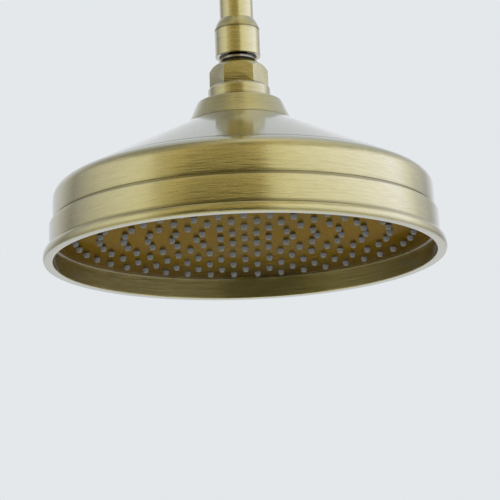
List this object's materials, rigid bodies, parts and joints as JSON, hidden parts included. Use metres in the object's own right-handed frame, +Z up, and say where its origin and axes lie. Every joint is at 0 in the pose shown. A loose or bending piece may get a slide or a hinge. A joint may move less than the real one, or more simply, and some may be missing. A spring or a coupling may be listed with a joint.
{
  "type": "rain shower rose with ceiling arm",
  "caption": "Round rain shower rose with a deep apron, shallow cone and ball swivel, hung from a short ceiling arm in satin brass.",
  "frame": {"origin": "centre of the ceiling face, at the foot of the inlet thread", "axes": "+Z up along the axis of the arm and rose, out of the inlet thread; -Y is the side the picture shows"},
  "size_m": [0.2, 0.2, 0.2683],
  "materials": {
    "satin_brass": "satin, brushed round the axis",
    "plain_brass": "as turned",
    "black_rubber": "matt",
    "grey_silicone": "soft matt",
    "white_plastic": "moulded",
    "stainless_steel": "drawn"
  },
  "bodies": {
    "arm": {"ceiling_flange": "satin_brass", "flange_rubber_ring": "black_rubber", "flange_grub_screw": "stainless_steel", "inlet_fitting": "plain_brass", "drop_pipe": "satin_brass", "arm_end_fitting": "satin_brass", "arm_strainer": "stainless_steel", "stud_rubber_ring": "black_rubber", "ball_stud": "plain_brass"},
    "swivel_seat": {"seat_ring": "white_plastic"},
    "swivel_seal": {"ball_seal": "black_rubber"},
    "rose": {"ball_nut": "satin_brass", "dust_seal": "black_rubber", "dust_ring": "stainless_steel", "lock_collar": "satin_brass", "neck_socket": "satin_brass", "neck_gasket": "black_rubber", "neck_washer": "plain_brass", "neck_locknut": "plain_brass", "flow_regulator": "white_plastic", "feed_tube": "plain_brass", "feed_tube_rings": "black_rubber", "dome_shell": "satin_brass", "apron_ring": "satin_brass", "spray_plate": "satin_brass", "nozzle_mat": "grey_silicone", "chamber_plate": "white_plastic", "plate_snap_ring": "stainless_steel"}
  },
  "joints": [
    {"name": "tilt_front", "type": "hinge", "parent": "arm", "child": "swivel_seat", "pos_m": [0, 0, -0.16167], "axis": [1, 0, 0], "range_deg": [-10, 10]},
    {"name": "tilt_side", "type": "hinge", "parent": "swivel_seat", "child": "swivel_seal", "pos_m": [0, 0, -0.16167], "axis": [0, 1, 0], "range_deg": [-10, 10]},
    {"name": "spin", "type": "hinge", "parent": "swivel_seal", "child": "rose", "pos_m": [0, 0, -0.16167], "axis": [0, 0, 1], "continuous": true}
  ]
}
